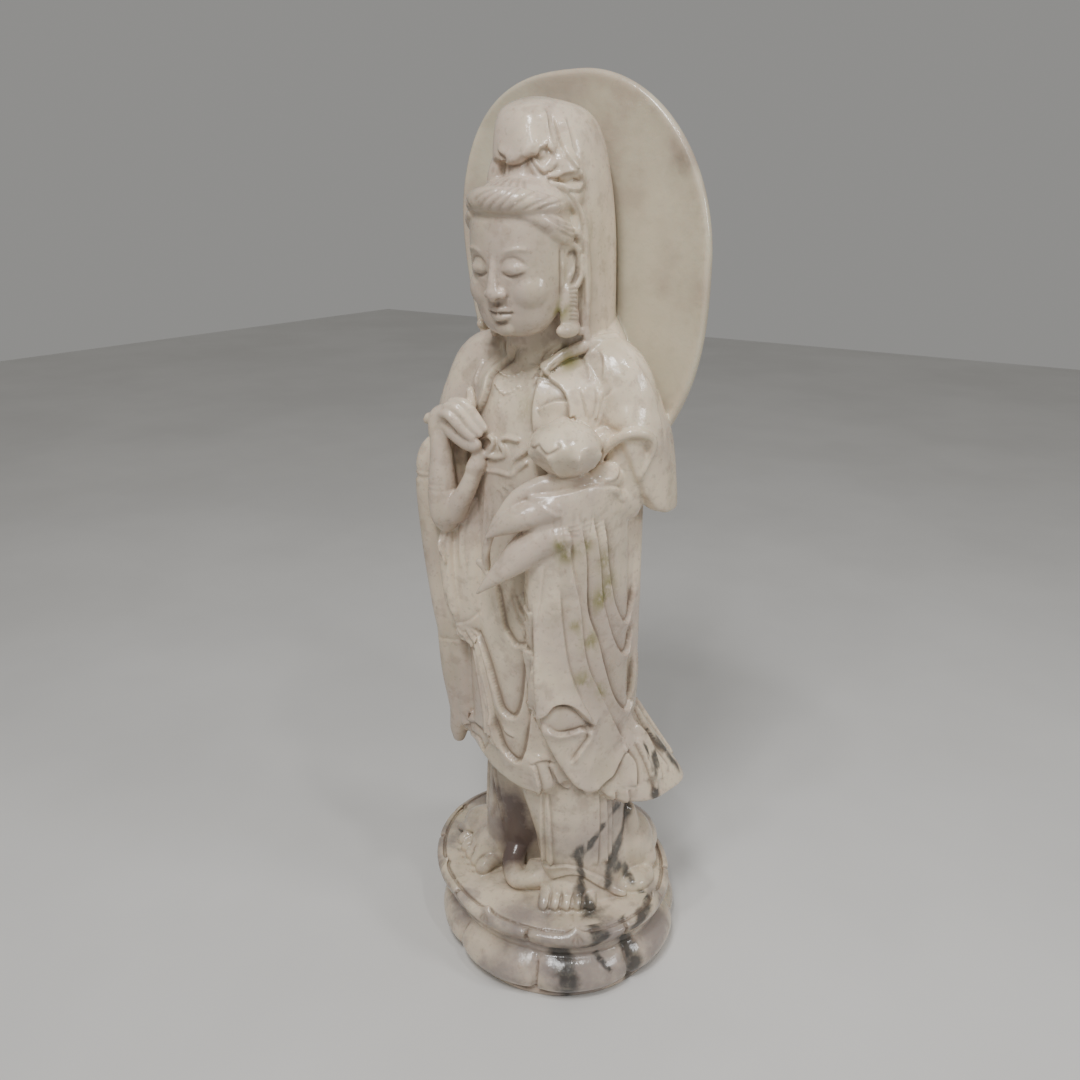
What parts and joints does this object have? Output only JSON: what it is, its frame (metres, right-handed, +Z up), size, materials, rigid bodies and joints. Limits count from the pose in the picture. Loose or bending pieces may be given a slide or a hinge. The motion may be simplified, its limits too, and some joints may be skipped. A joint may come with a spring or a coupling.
{
  "type": "guanyin figure",
  "caption": "Standing robed figure in carved veined stone, on a round lotus plinth, with a leaf-shaped halo behind the veiled head and a lotus bud in the lowered hand.",
  "frame": {"origin": "a point on the flat underside of the plinth's foot, below the figure's own upright axis and 23 mm in front of the foot's middle", "axes": "+Z up, from the underside to the top of the halo; the figure faces -Y, and +X is towards its left hand, the one that holds the lotus bud"},
  "size_m": [0.39, 0.3698, 1.2007],
  "materials": {
    "stone": "polished off-white stone with a warm pinkish grey cast, dark grey veins and pale green patches"
  },
  "bodies": {
    "root": {"guanyin_figure": "stone"}
  },
  "joints": []
}
